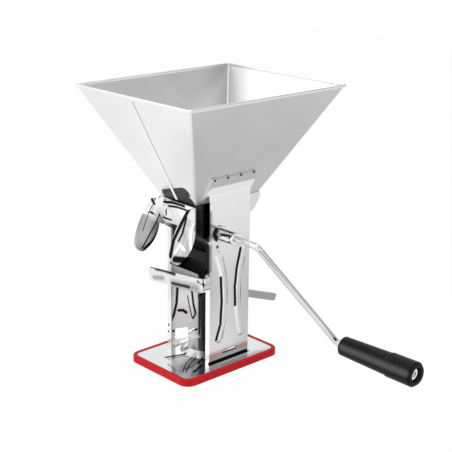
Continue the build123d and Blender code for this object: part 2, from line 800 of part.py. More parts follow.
# ---------------------------------------------------------------- base
def base_plate():
    """Steel base plate with rounded corners and a pressed dome for the vacuum cup."""
    edge = gasket_wall - gasket_grip
    with BuildPart() as plate:
        with BuildSketch(Plane.XY.offset(base_plate_z)):
            with Locations((base_shift_x, base_shift_y)):
                RectangleRounded(base_x - 2 * edge, base_y - 2 * edge, base_corner - edge)
        extrude(amount=base_plate_wall)
        rise = dome_height - base_plate_wall
        with BuildSketch(Plane.XZ.offset(-pull_y)):
            with BuildLine():
                Polyline((0, base_top_z - 0.5), (dome_radius, base_top_z - 0.5),
                         (dome_radius, base_top_z), (dome_top_radius, base_top_z + rise),
                         (0, base_top_z + rise), close=True)
            make_face()
        revolve(axis=Axis((0, pull_y, 0), (0, 0, 1)))
        with BuildSketch(Plane.XZ.offset(-pull_y)):
            with BuildLine():
                Polyline((0, base_plate_z - 1), (dome_radius - 1.9, base_plate_z - 1),
                         (dome_radius - 1.9, base_plate_z),
                         (dome_top_radius - 1.4, base_plate_z + rise),
                         (0, base_plate_z + rise), close=True)
            make_face()
        revolve(axis=Axis((0, pull_y, 0), (0, 0, 1)), mode=Mode.SUBTRACT)
        with Locations((0, pull_y, base_plate_z)):
            Cylinder(pull_radius + shaft_clearance, 8 * dome_height, mode=Mode.SUBTRACT)
    finish(plate.part, "base_plate")


base_plate()


def base_gasket():
    """Rubber edging round the base plate: it stands on the table and seals it."""
    with BuildPart() as gasket:
        with BuildSketch(Plane.XY):
            with Locations((base_shift_x, base_shift_y)):
                RectangleRounded(base_x, base_y, base_corner)
                RectangleRounded(base_x - 2 * gasket_wall, base_y - 2 * gasket_wall,
                                 base_corner - gasket_wall, mode=Mode.SUBTRACT)
        extrude(amount=gasket_height)
        outer_edges = gasket.edges().filter_by_position(Axis.Z, gasket_height - 0.01,
                                                        gasket_height + 0.01)
        fillet(outer_edges, 1.4)
        edge = gasket_wall - gasket_grip
        with BuildSketch(Plane.XY.offset(base_plate_z - contact_gap)):
            with Locations((base_shift_x, base_shift_y)):
                RectangleRounded(base_x - 2 * edge + 0.1, base_y - 2 * edge + 0.1,
                                 base_corner - edge)
        extrude(amount=base_plate_wall + 2 * contact_gap, mode=Mode.SUBTRACT)
    finish(gasket.part, "base_gasket")


base_gasket()


def vacuum_cup():
    """Rubber diaphragm under the base plate, drawn up in the middle."""
    top = foot_z - contact_gap
    rim_top = base_plate_z - contact_gap
    with BuildPart() as cup:
        with BuildSketch(Plane.XZ.offset(-pull_y)):
            with BuildLine():
                Polyline((0, top - cup_wall), (foot_radius + 1, top - cup_wall),
                         (cup_radius * 0.6, 1), (cup_radius, 1), (cup_radius, rim_top),
                         (cup_radius - cup_rim, rim_top), (cup_radius - cup_rim, 1 + cup_wall),
                         (cup_radius * 0.6 + 1, 1 + cup_wall), (foot_radius + 2, top), (0, top),
                         close=True)
            make_face()
        revolve(axis=Axis((0, pull_y, 0), (0, 0, 1)))
    finish(cup.part, "vacuum_cup")


vacuum_cup()


def foot_rivets():
    """Six rivets that hold the plates' feet on the base plate."""
    with BuildPart() as rivets:
        z = plate_low_z + plate_wall + contact_gap
        with BuildSketch(Plane.XY.offset(z)):
            with GridLocations(2 * (plate_inner - rivet_radius - 1), foot_rivet_pitch, 2, 3):
                Circle(rivet_radius)
        extrude(amount=1.3, taper=35)
    finish(rivets.part, "foot_rivets")


foot_rivets()


# ---------------------------------------------------------------- vacuum lever
def fulcrum_pin():
    """Cross pin between the plates on which the vacuum lever turns."""
    with BuildPart() as pin:
        with Locations(Location((0, fulcrum_y, fulcrum_z), (0, 90, 0))):
            Cylinder(fulcrum_radius, 2 * (plate_inner - contact_gap))
    finish(pin.part, "fulcrum_pin")


fulcrum_pin()


def lever_spacers():
    """Two tubes on the fulcrum pin that keep the lever in the middle."""
    with BuildPart() as spacers:
        for side in (-1, 1):
            start = side * (lever_wall / 2 + running_gap)
            length = plate_inner - contact_gap - lever_wall / 2 - running_gap
            with BuildSketch(Plane(origin=(start, fulcrum_y, fulcrum_z), z_dir=(side, 0, 0))):
                Circle(fulcrum_radius + 1.2)
                Circle(fulcrum_radius + 0.03, mode=Mode.SUBTRACT)
            extrude(amount=length)
    finish(spacers.part, "lever_spacers")


lever_spacers()


def vacuum_lever():
    """Flat steel lever on edge: a slot for the pull rod's pin and a bare outer end."""
    inner_arm = hypot(fulcrum_y - pull_y, pull_pin_z - fulcrum_z)
    outer_arm = hypot(lever_tip_y - fulcrum_y, fulcrum_z - lever_tip_z)
    sheet = Plane(origin=(0, fulcrum_y, fulcrum_z), z_dir=(1, 0, 0),
                  x_dir=(0, cos(radians(lever_angle)), -sin(radians(lever_angle))))
    with BuildPart() as lever:
        with BuildSketch(sheet):
            with Locations(((outer_arm - inner_arm - lever_tail) / 2, 0)):
                Rectangle(inner_arm + outer_arm + lever_tail, lever_height)
            Circle(fulcrum_radius + shaft_clearance, mode=Mode.SUBTRACT)
            with Locations((-inner_arm, 0)):
                SlotCenterToCenter(4, 2 * (lever_pin_radius + 0.2), mode=Mode.SUBTRACT)
        extrude(amount=lever_wall / 2, both=True)
        end_edges = lever.edges().filter_by(Axis.X).sort_by(Axis.Y)
        fillet(end_edges[-2:], lever_height * 0.25)
        fillet(end_edges[:2], lever_height * 0.4)
    finish(lever.part, "vacuum_lever")


vacuum_lever()


def pull_rod():
    """Rod from the lever down through the base plate, with a fork at the top."""
    top_z = pull_pin_z + clevis_above
    fork_floor = pull_pin_z - lever_height * 0.5 / cos(radians(lever_angle)) - 5.0
    rod_low = foot_z + foot_thickness - 1
    with BuildPart() as rod:
        with Locations((0, pull_y, (rod_low + fork_floor) / 2)):
            Cylinder(pull_radius, fork_floor - rod_low)
        with Locations((0, pull_y, (fork_floor - 5 + top_z) / 2)):
            Box(clevis_x, clevis_y, top_z - fork_floor + 5)
        fillet(rod.edges().filter_by(Axis.Z).filter_by(GeomType.LINE), 1.5)
        with Locations((0, pull_y, fork_floor + top_z / 2)):
            Box(lever_wall + 2 * running_gap, 2 * clevis_y, top_z, mode=Mode.SUBTRACT)
        with Locations(Location((0, pull_y, pull_pin_z), (0, 90, 0))):
            Cylinder(lever_pin_radius + 0.01, 2 * clevis_x, mode=Mode.SUBTRACT)
    finish(rod.part, "pull_rod")


pull_rod()


def pull_rod_pin():
    """Cross pin of the pull rod's fork, with a head."""
    with BuildPart() as pin:
        with Locations(Location((0, pull_y, pull_pin_z), (0, 90, 0))):
            Cylinder(lever_pin_radius, clevis_x + 2)
        with Locations(Location((clevis_x / 2 + 0.8, pull_y, pull_pin_z), (0, 90, 0))):
            Cylinder(lever_pin_radius + 1.3, 1.4)
    finish(pin.part, "pull_rod_pin")


pull_rod_pin()


def pull_rod_foot():
    """Steel disc on the rod's lower end, bonded to the diaphragm."""
    with BuildPart() as foot:
        with BuildSketch(Plane.XY.offset(foot_z)):
            with Locations((0, pull_y)):
                Circle(foot_radius)
        extrude(amount=foot_thickness)
        with Locations((0, pull_y, foot_z + foot_thickness)):
            Cylinder(pull_radius + 0.01, 2, mode=Mode.SUBTRACT)
    finish(foot.part, "pull_rod_foot")


pull_rod_foot()
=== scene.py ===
# %% [markdown]
# A hand-cranked tomato strainer on a vacuum base. Its sheet-metal body, crank and lever come from
# the imported model. This lesson gives each of them its finish, with painted reflections and shade
# on the metal, remakes the soft rubber cup as a turned ring and skin, and sets up the floor, the
# lamps and the camera.

# %% Load the frame
import json
import math

import bmesh
import bpy
from mathutils import Matrix, Vector


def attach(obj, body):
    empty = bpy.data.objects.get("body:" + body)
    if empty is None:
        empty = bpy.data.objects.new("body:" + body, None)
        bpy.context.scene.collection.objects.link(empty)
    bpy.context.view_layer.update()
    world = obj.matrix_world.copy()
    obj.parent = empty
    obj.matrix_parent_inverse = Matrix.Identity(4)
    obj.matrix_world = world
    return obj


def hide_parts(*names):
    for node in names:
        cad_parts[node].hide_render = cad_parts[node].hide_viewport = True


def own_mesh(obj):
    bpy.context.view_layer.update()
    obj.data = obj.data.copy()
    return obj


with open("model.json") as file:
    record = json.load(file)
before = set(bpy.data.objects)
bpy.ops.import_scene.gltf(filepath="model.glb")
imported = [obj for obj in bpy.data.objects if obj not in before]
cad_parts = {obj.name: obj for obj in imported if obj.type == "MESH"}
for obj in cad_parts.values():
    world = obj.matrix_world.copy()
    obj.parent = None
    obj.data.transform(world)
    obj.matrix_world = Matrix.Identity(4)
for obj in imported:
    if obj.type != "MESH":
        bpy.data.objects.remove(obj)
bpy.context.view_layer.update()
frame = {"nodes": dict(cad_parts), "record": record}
nodes = frame["nodes"]
scene = bpy.context.scene

# %% [markdown]
# The camera comes first, because every finish is judged through it. The strainer was seen from
# its crank side and front, a little from above, through a long lens. The camera stands at that
# distance and keeps its own sensor size, and a small shift puts the strainer where it stood.

# %% Camera
VIEW_TURN = math.radians(46.98)      # from the front towards the crank side
VIEW_RISE = math.radians(17.49)
VIEW_ROLL = math.radians(0.68)
AIM = Vector((0.0, 0.0, 0.165))
DISTANCE = 1.3709
SIDE_STEP = Vector((-0.02227, -0.00861))
PICTURE_SIZE = 452
FOCAL_PIXELS = 1088.5
SENSOR = 36.0
NEAR_CLIP = 0.05
MM = 0.001


def view_axes(turn, rise, roll):
    """The camera's right, up and back directions."""
    flat = math.cos(rise)
    back = Vector((math.sin(turn) * flat, -math.cos(turn) * flat, math.sin(rise)))
    right = Vector((math.cos(turn), math.sin(turn), 0.0))
    up = back.cross(right)
    tilt = Matrix.Rotation(roll, 3, back)
    return tilt @ right, tilt @ up, back


def add_camera():
    right, up, back = view_axes(VIEW_TURN, VIEW_RISE, VIEW_ROLL)
    data = bpy.data.cameras.new("camera")
    data.sensor_width = SENSOR
    data.sensor_height = SENSOR
    data.sensor_fit = "HORIZONTAL"
    data.lens = SENSOR * FOCAL_PIXELS / PICTURE_SIZE
    data.clip_start = NEAR_CLIP
    camera = bpy.data.objects.new("camera", data)
    place = AIM + back * DISTANCE - right * SIDE_STEP.x - up * SIDE_STEP.y
    turn = Matrix((right, up, back)).transposed().to_4x4()
    camera.matrix_world = Matrix.Translation(place) @ turn
    scene.collection.objects.link(camera)
    scene.camera = camera
    return camera


camera = add_camera()
print("camera at", [round(c, 3) for c in camera.location], "lens", round(camera.data.lens, 1))

# %% [markdown]
# Every finish below is a small tree of shader nodes. The trees could be wired by hand, link by
# link, but then the sums are hard to read. So one class wraps a node's output and lets Python's
# own plus, minus and times make the maths nodes.

# %% Maths on sockets
class Socket:
    """Wraps a node's output, so that shader maths reads as plain expressions."""

    def __init__(self, tree, link):
        self.tree = tree
        self.link = link

    def maths(self, operation, other):
        return self.tree.node("ShaderNodeMath", {"operation": operation}, {0: self, 1: other})

    def __add__(self, other):
        return self.maths("ADD", other)

    __radd__ = __add__

    def __sub__(self, other):
        return self.maths("SUBTRACT", other)

    def __mul__(self, other):
        return self.maths("MULTIPLY", other)

    def smaller(self, other):
        return self.maths("MINIMUM", other)

    def larger(self, other):
        return self.maths("MAXIMUM", other)

    def smooth(self, low, high, start=0.0, end=1.0):
        """A soft step from start to end as the value goes from low to high."""
        settings = {"interpolation_type": "SMOOTHSTEP"}
        sockets = {0: self, 1: low, 2: high, 3: start, 4: end}
        return self.tree.node("ShaderNodeMapRange", settings, sockets)


def grey(value):
    return (value, value, value, 1.0)


BLACK = grey(0.0)
WHITE = grey(1.0)
print("sockets add, subtract and multiply")

# %% [markdown]
# A finish is one material. Its methods make the few kinds of node that all the finishes share:
# places on the object, noise, a mix of two colours, a bump, and strokes. A stroke is a line in
# space with a half width, and it is drawn by its distance, so it needs no picture.

# %% Finishes
class Finish:
    """One material and the nodes that make it."""

    def __init__(self, name):
        self.material = bpy.data.materials.new(name)
        self.material.use_nodes = True
        self.tree = self.material.node_tree
        self.tree.nodes.clear()

    def node(self, kind, settings=None, sockets=None, output=0):
        """Makes a node, sets its options, then its sockets' values or links."""
        node = self.tree.nodes.new(kind)
        for key, value in (settings or {}).items():
            setattr(node, key, value)
        for key, value in (sockets or {}).items():
            if isinstance(value, Socket):
                self.tree.links.new(value.link, node.inputs[key])
            else:
                node.inputs[key].default_value = value
        return Socket(self, node.outputs[output]) if len(node.outputs) else None

    def vector(self, operation, sockets, output=0):
        return self.node("ShaderNodeVectorMath", {"operation": operation}, sockets, output)

    def spot(self):
        """The shaded point, in the object's own coordinates."""
        return self.node("ShaderNodeTexCoord", output="Object")

    def stretched(self, scale):
        return self.node("ShaderNodeMapping", {}, {"Vector": self.spot(), "Scale": scale})

    def noise(self, where, scale, detail, rough=0.5):
        values = {"Vector": where, "Scale": scale, "Detail": detail, "Roughness": rough}
        return self.node("ShaderNodeTexNoise", {}, values, output="Fac")

    def mix(self, amount, first, second):
        """A colour between first and second."""
        settings = {"data_type": "RGBA"}
        return self.node("ShaderNodeMix", settings, {0: amount, 6: first, 7: second}, output=2)

    def bump(self, height, distance, strength):
        values = {"Height": height, "Distance": distance, "Strength": strength}
        return self.node("ShaderNodeBump", {}, values, output="Normal")

    def distance_to(self, spot, start, end):
        """How far the shaded point is from the line between two points."""
        run = end - start
        away = self.vector("SUBTRACT", {0: spot, 1: start})
        share = self.vector("DOT_PRODUCT", {0: away, 1: run / run.length_squared}, "Value")
        share = self.node("ShaderNodeClamp", {}, {0: share})
        foot = self.vector("SCALE", {"Vector": run, "Scale": share})
        return self.vector("DISTANCE", {0: away, 1: foot}, "Value")

    def strokes(self, lines, soft):
        """A mask of brush strokes: 1 on the lines, 0 beyond their half width."""
        spot = self.spot()
        nearest = None
        for half_width, *points in lines:
            for start, end in zip(points, points[1:]):
                far = self.distance_to(spot, Vector(start) * MM, Vector(end) * MM)
                far = far * (1.0 / (half_width * MM))
                nearest = far if nearest is None else nearest.smaller(far)
        return nearest.smooth(1.0 - soft, 1.0 + soft, 1.0, 0.0)

    def surface(self, **values):
        """The Principled shader, with its sockets by name, wired to the output."""
        sockets = {key.replace("_", " "): value for key, value in values.items()}
        shader = self.node("ShaderNodeBsdfPrincipled", {}, sockets, output="BSDF")
        self.node("ShaderNodeOutputMaterial", {}, {"Surface": shader})
        return self.material


print("finishes are ready to be made")

# %% [markdown]
# The strainer is mostly bare metal, and bare metal is only as good as what it mirrors. So it
# stands on a white sweep. The floor is white to the camera, and still takes the strainer's faint
# shadow. To metal it also shows a grey card behind and a black one in front, which draw the
# darker bands that polished sheet shows in a studio. Standing cards would do it too, but these
# need no hiding from the camera.

# %% The white sweep
PAPER = grey(0.93)
SWEEP_HALF = 2.6
CAMERA_WHITE = 0.95          # how much of the floor's look is plain white to the camera
CARDS = {                    # middle on the floor, radius, width of its soft edge, tone
    "rear": ((0.08, 0.36, 0.0), 0.20, 0.26, grey(0.56)),
    "camera_side": ((0.48, -0.36, 0.0), 0.17, 0.10, grey(0.015)),
}


def ray_kinds(finish, *kinds):
    """Sockets that are 1 for a ray of that kind, from one light path node."""
    path = finish.tree.nodes.new("ShaderNodeLightPath")
    return [Socket(finish, path.outputs[f"Is {kind} Ray"]) for kind in kinds]


def mirrored_floor(paper):
    """What metal sees in the floor: white, with a grey card behind and a black one in front."""
    spot = paper.spot()
    colour = WHITE
    for middle, radius, edge, tone in CARDS.values():
        far = paper.vector("DISTANCE", {0: spot, 1: middle}, "Value")
        colour = paper.mix(far.smooth(radius, radius + edge), tone, colour)
    return colour


def floor_paper():
    """Paper that is white to the camera, carries the cards in reflections, and takes shadow."""
    paper = Finish("floor_paper")
    camera_ray, glossy_ray, clear_ray = ray_kinds(paper, "Camera", "Glossy", "Transmission")
    glow_colour = paper.mix(glossy_ray, WHITE, mirrored_floor(paper))
    card = paper.node("ShaderNodeBsdfDiffuse", {}, {"Color": PAPER}, output="BSDF")
    glow = paper.node("ShaderNodeEmission", {}, {"Color": glow_colour, "Strength": 1.0})
    seen = (camera_ray * CAMERA_WHITE).larger(glossy_ray.larger(clear_ray))
    both = paper.node("ShaderNodeMixShader", {}, {0: seen, 1: card, 2: glow})
    paper.node("ShaderNodeOutputMaterial", {}, {"Surface": both})
    return paper.material


def add_floor():
    mesh = bmesh.new()
    bmesh.ops.create_grid(mesh, x_segments=1, y_segments=1, size=SWEEP_HALF)
    data = bpy.data.meshes.new("floor")
    mesh.to_mesh(data)
    mesh.free()
    floor = bpy.data.objects.new("floor", data)
    scene.collection.objects.link(floor)
    floor.data.materials.append(floor_paper())


add_floor()
print("floor", round(2 * SWEEP_HALF, 1), "m wide, cards:", len(CARDS))

# %% [markdown]
# Above the floor the room is an even white world. Metal sees it darker on one side, as a real
# room would be, and that turns the polished sheet from flat white to shaded steel. The camera
# sees plain white, so the background stays clean.

# %% Room light
ROOM_LIGHT = 0.62
MIRROR_GREY = grey(0.50)                     # the room's darker side, as metal sees it
GREY_SIDE = Vector((0.64, 0.74, 0.15))       # the way to that side
GREY_START, GREY_FULL = 0.05, 0.75           # where its soft edge begins and ends


class Room(Finish):
    """The world's nodes, made with the same helpers as a finish."""

    def __init__(self, name):
        world = bpy.data.worlds.new(name)
        scene.world = world
        world.use_nodes = True
        self.tree = world.node_tree
        self.tree.nodes.clear()

    def glow(self, colour, strength):
        return self.node("ShaderNodeBackground", {}, {"Color": colour, "Strength": strength})


def light_room():
    """An even world: white to the camera, grey on one side to metal, softer as a lamp."""
    room = Room("studio")
    camera_ray, glossy_ray, clear_ray = ray_kinds(room, "Camera", "Glossy", "Transmission")
    way = room.node("ShaderNodeTexCoord", output="Generated")
    turned_grey = room.vector("DOT_PRODUCT", {0: way, 1: GREY_SIDE}, "Value")
    mirrored = room.mix(turned_grey.smooth(GREY_START, GREY_FULL), WHITE, MIRROR_GREY)
    lamp = room.glow(WHITE, ROOM_LIGHT)
    mirror = room.glow(mirrored, 1.0)
    plain = room.glow(WHITE, 1.0)
    lit = room.node("ShaderNodeMixShader", {}, {0: glossy_ray, 1: lamp, 2: mirror})
    seen = camera_ray.larger(clear_ray)
    both = room.node("ShaderNodeMixShader", {}, {0: seen, 1: lit, 2: plain})
    room.node("ShaderNodeOutputWorld", {}, {"Surface": both})


light_room()
scene.view_settings.view_transform = "Standard"
print("room light", ROOM_LIGHT)

# %% [markdown]
# Three large square lamps model the forms. The front one is the strongest and makes the near
# walls of the hopper light, the one above whitens the inside, and a weak one lifts the crank
# side. Large lamps give soft edges, as a product studio does.

# %% Soft lamps
LAMP_TARGET = Vector((0.0, 0.0, 0.2))
LAMPS = {                    # place, size, power
    "front_box": ((-0.6, -1.6, 1.1), 1.3, 13.0),
    "side_box": ((1.7, 0.3, 0.9), 1.0, 2.0),
    "top_box": ((0.0, 0.2, 2.0), 1.4, 9.0),
}


def add_lamp(name, place, size, power):
    data = bpy.data.lights.new(name, "AREA")
    data.shape = "SQUARE"
    data.size = size
    data.energy = power
    lamp = bpy.data.objects.new(name, data)
    turn = (LAMP_TARGET - Vector(place)).to_track_quat("-Z", "Y")
    lamp.matrix_world = Matrix.Translation(place) @ turn.to_matrix().to_4x4()
    scene.collection.objects.link(lamp)


for name, (place, size, power) in LAMPS.items():
    add_lamp(name, place, size, power)
print("lamps:", len(LAMPS))

# %% [markdown]
# All the steels share one recipe. Real sheet carries a very fine brushed grain along its rolling
# direction, so its roughness and its tiny bumps are noise that is stretched hard along one axis.
# Layers are strokes of painted reflection and painted shade that darken the steel, and bright ones
# are painted highlights that glow as a mirrored lamp does. The glow is put out under the darkest
# layers, so that they stay black.

# %% The steel recipe
CLOUD_SCALE = 14.0
CLOUD_SHADE = 0.94           # how much darker the faint clouds are
DARKEST = 0.1                # a layer below this tone also puts out the glow


def steel(name, colour, rough, spread, grain_scale, grain_depth, layers=(), bright=()):
    """Bare sheet: fine stretched grain in roughness and bump, faint clouds in its colour, and
    painted reflections, shade and highlights from its layers.
    """
    finish = Finish(name)
    grain = finish.noise(finish.stretched(grain_scale), 1.0, detail=3.0, rough=0.6)
    clouds = finish.noise(finish.stretched((1.0, 1.0, 1.0)), CLOUD_SCALE, detail=3.0)
    darker = tuple(c * CLOUD_SHADE for c in colour[:3]) + (1.0,)
    paint = finish.mix(clouds.smooth(0.3, 0.7), darker, colour)
    glow = BLACK
    for level, soft, lines in bright:
        glow = finish.mix(finish.strokes(lines, soft), glow, grey(level))
    for tone, soft, lines in layers:
        mask = finish.strokes(lines, soft)
        paint = finish.mix(mask, paint, grey(tone))
        if bright and tone < DARKEST:
            glow = finish.mix(mask, glow, BLACK)
    values = {"Emission_Color": glow, "Emission_Strength": 1.0} if bright else {}
    worn = grain * spread + (rough - spread * 0.5) + clouds * 0.04
    lift = finish.bump(grain, grain_depth, 0.5)
    return finish.surface(Base_Color=paint, Metallic=1.0, Roughness=worn, Normal=lift, **values)


print("steel recipe ready")

# %% [markdown]
# The hopper is satin stainless sheet. Its grain is faint, because it looks plain grey from a step
# away. It could be left to the lamps alone, but four layers paint shade and reflection into its
# colour: painted shade darkens one rear corner and the front wall a little towards the crank, a
# painted black reflection sits where it meets the hood, and a thin painted shade line runs above
# the tab on the crank side.

# %% Hopper steel
HOPPER_GRAIN = (90.0, 90.0, 1400.0)
SATIN_LIFT = 0.00002         # height of brushed grain, in metres
# Painted shade and a painted reflection in the hopper's colour.
hopper_painted_dark = [
    (0.62, 0.9, [(26.0, (-100, 128, 350), (-45, 62, 235))]),
    (0.80, 0.9, [(30.0, (30, -62, 226), (75, -100, 290))]),
    (0.02, 0.15, [(8.0, (-18, -54, 221), (24, -60, 233)), (7.0, (-22, -50, 212), (26, -54, 221))]),
    (0.05, 0.4, [(0.7, (52.4, -42, 250.8), (54.4, 26, 254.2)),
                 (1.2, (52.4, -44, 250), (47, -46, 240), (43, -45, 233))]),
]
hopper_steel = steel("hopper_steel", (0.90, 0.90, 0.905, 1.0), 0.30, 0.08, HOPPER_GRAIN,
                     SATIN_LIFT, layers=hopper_painted_dark)
seam_steel = steel("seam_steel", (0.96, 0.96, 0.96, 1.0), 0.42, 0.08, HOPPER_GRAIN, SATIN_LIFT)
print("hopper layers:", len(hopper_painted_dark))

# %% [markdown]
# The other metals differ only in colour, gloss and grain. Pressed plates keep a rolling grain and
# some gloss, polished pieces are nearly mirrors, and the lever is dull and grey. The pieces deep in
# the chamber get painted shade, because so little light comes back from there: the screen, the
# chute and the pull rod are painted nearly black, and the chamber's shell is painted black across
# its front.
# Three short functions hold what the pressed, the polished and the dull pieces share.

# %% Other steels
PLATE_GREY = (0.86, 0.86, 0.865, 1.0)
PLATE_GRAIN = (1200.0, 1200.0, 60.0)
EVEN_GRAIN = (300.0, 300.0, 300.0)
LEVER_GRAIN = (60.0, 60.0, 1500.0)
POLISHED_LIFT = 0.00001


def pressed(name, layers=(), bright=()):
    return steel(name, PLATE_GREY, 0.22, 0.08, PLATE_GRAIN, SATIN_LIFT, layers, bright)


def polished(name, rough, colour=PLATE_GREY, layers=(), bright=()):
    return steel(name, colour, rough, 0.06, EVEN_GRAIN, POLISHED_LIFT, layers, bright)


def dull(name, colour, rough, layers=()):
    return steel(name, colour, rough, 0.10, EVEN_GRAIN, POLISHED_LIFT, layers)


plate_steel = pressed("plate_steel")
bright_steel = polished("bright_steel", 0.10, (0.88, 0.88, 0.885, 1.0))
rod_steel = polished("rod_steel", 0.16, (0.80, 0.80, 0.81, 1.0))
lever_steel = steel("lever_steel", (0.58, 0.58, 0.585, 1.0), 0.36, 0.10, LEVER_GRAIN, SATIN_LIFT)
# Painted shade: black over the chamber's front, and a nearly black screen, chute and pull rod.
shade_layers = [(0.03, 0.3, [(38.0, (20, -55, 215), (20, -55, 120))])]
shaded_steel = dull("shaded_steel", (0.80, 0.80, 0.805, 1.0), 0.30, shade_layers)
shade_black_steel = dull("shade_black_steel", (0.02, 0.02, 0.02, 1.0), 0.30)
weld_steel = dull("weld_steel", (0.06, 0.055, 0.05, 1.0), 0.40)
print("steels so far:", len(bpy.data.materials) - 1)

# %% [markdown]
# Polished pressings mirror the dark corners of the room as crisp black strokes that follow the ribs
# and edges. Fine ribs and a busier room could make them, but then they would wander with every
# small change. So each is painted as a line on its sheet, and three helpers write lines on sheets
# that face sideways, face the front, or lie flat.

# %% Lines on sheets
# Black strokes are painted reflections and painted shadows, in this tone.
PAINTED_BLACK = 0.012                  # tone of a mirrored black card
CRISP = 0.35                 # softness of a stroke's edge, as a share of its half width


def side_line(half_width, x, *points):
    """A line on a sheet that faces sideways. Its points are (y, z)."""
    return (half_width, *((x, y, z) for y, z in points))


def front_line(half_width, y, *points):
    """A line on a sheet that faces the front. Its points are (x, z)."""
    return (half_width, *((x, y, z) for x, z in points))


def flat_line(half_width, z, *points):
    """A line on a sheet that lies flat. Its points are (x, y)."""
    return (half_width, *((x, y, z) for x, y in points))


print("edge softness", CRISP)

# %% [markdown]
# The plate on the crank side is the one that is seen best. Two heavy painted reflections follow its
# bowed ribs, two painted hairlines run beside them, and painted black bars stand in its front
# flange, along the tab, round the slot and at its foot, where the bar is a painted shadow. The
# bright lines are painted highlights of the lamp in the tab's bend and in the flange, with one
# bright dot, over a faint wide painted glow.

# %% Crank side plate
RIGHT_X = 40.0
FLANGE_X, FLANGE_Y = 34.6, -33.5
TAB_X = 42.5
# Painted reflections of dark cards, and painted shadow at the foot and round the slot.
right_painted_dark = [
    side_line(1.9, RIGHT_X, (-15, 120), (-13, 88), (-15, 58), (-22, 38)),
    side_line(1.9, RIGHT_X, (18, 151), (12, 127), (9, 102), (10, 77)),
    side_line(0.4, RIGHT_X, (-12, 146), (-6, 124), (-3, 98), (-6, 60), (-11, 37)),
    side_line(0.4, RIGHT_X, (26, 137), (20, 115), (19, 64), (26, 36)),
    side_line(1.7, RIGHT_X, (-33, 9), (33, 9)),
    side_line(2.4, RIGHT_X, (-8, 18.6), (11, 18.6)),
    (0.7, (53.0, -40, 251.5), (54.6, 27, 254.6)),
    side_line(5.8, FLANGE_X, (FLANGE_Y, 133), (FLANGE_Y, 163)),
    side_line(5.8, FLANGE_X, (FLANGE_Y, 173), (FLANGE_Y, 206)),
]
# Painted highlights that glow, standing for the mirrored lamp.
right_painted_highlights = [
    (0.09, 0.9, [side_line(24.0, RIGHT_X, (0, 15), (0, 150))]),
    (0.30, 0.2, [side_line(6.6, TAB_X, (-34, 233.5), (34, 233.5))]),
    (0.35, 0.1, [side_line(5.0, 35, (FLANGE_Y, 12), (FLANGE_Y, 121))]),
    (0.80, 0.3, [side_line(1.1, 34, (-34.2, 167), (-34.2, 168.5))]),
]
right_steel = pressed("right_plate_steel", [(PAINTED_BLACK, CRISP, right_painted_dark)], right_painted_highlights)
print("strokes on the crank side plate:", len(right_painted_dark))

# %% [markdown]
# The far plate shows its inner face, where it mirrors the near one. Its painted reflections are
# shorter and bend towards its foot, a painted dark column stands at its back, and three painted
# bright bars glow low down, over a faint wide painted glow.

# %% Far side plate
LEFT_X = -38.5
# Painted reflections of the near plate, and a painted dark column.
left_painted_dark = [
    side_line(2.3, LEFT_X, (-18, 92), (-20, 64), (-25, 48), (-32, 37)),
    side_line(1.7, LEFT_X, (5, 84), (9, 55), (13, 41), (9, 35)),
    side_line(0.9, LEFT_X, (-1, 69), (2, 54), (7, 36)),
    side_line(2.0, LEFT_X, (-17, 53), (-9, 51), (-3, 46)),
    side_line(1.5, LEFT_X, (-34, 28), (-24, 26)),
    side_line(1.5, LEFT_X, (2, 20), (16, 17)),
    side_line(6.0, LEFT_X, (23, 100), (24, 2)),
]
# Painted highlights: a faint wide glow and three bright bars.
left_painted_highlights = [
    (0.22, 0.6, [side_line(24.0, LEFT_X, (-8, 60), (-8, 20))]),
    (0.9, 0.2, [side_line(2.6, LEFT_X, (-20, top), (-3, top - 3)) for top in (25.5, 21, 16.5)]),
]
left_steel = pressed("left_plate_steel", [(PAINTED_BLACK, CRISP, left_painted_dark)], left_painted_highlights)
print("strokes on the far side plate:", len(left_painted_dark))

# %% [markdown]
# The splash hood is one bent sheet: a panel under the hopper and two leaf-shaped cheeks. It is
# polished, so it carries the boldest painted reflections, which run down the leaves and along the
# panel, and painted highlights glow on its cheeks and panel.

# %% Splash hood
CHEEK_X, NEAR_CHEEK_X = -33.0, 34
HOOD_Y = -52
# Painted reflections on the cheeks and the panel.
hood_painted_dark = [
    side_line(1.1, CHEEK_X, (-48, 199), (-57, 183), (-69, 168), (-80, 154)),
    side_line(1.4, CHEEK_X, (-52, 216), (-47, 208), (-45, 200)),
    front_line(1.8, HOOD_Y, (-24, 210), (-8, 213), (14, 213)),
    side_line(1.6, CHEEK_X, (-64, 214), (-60, 207)),
    side_line(1.2, CHEEK_X, (-66, 198), (-62, 195)),
    side_line(0.6, CHEEK_X, (-58, 214), (-70, 196), (-79, 176)),
    side_line(2.4, CHEEK_X, (-45, 184), (-53, 170), (-64, 159), (-76, 152)),
    side_line(2.6, NEAR_CHEEK_X, (-60, 218), (-74, 200), (-86, 182), (-91, 163)),
    side_line(4.2, NEAR_CHEEK_X, (-84, 158), (-68, 153)),
    side_line(1.6, NEAR_CHEEK_X, (-66, 206), (-72, 188), (-78, 180)),
    side_line(6.0, NEAR_CHEEK_X, (-46, 180), (-46, 214)),
    front_line(1.3, HOOD_Y, (-20, 200), (-20, 195)),
    front_line(1.4, HOOD_Y, (-15, 207), (1, 209), (18, 209)),
    front_line(1.2, HOOD_Y, (-26, 190), (-10, 190)),
]
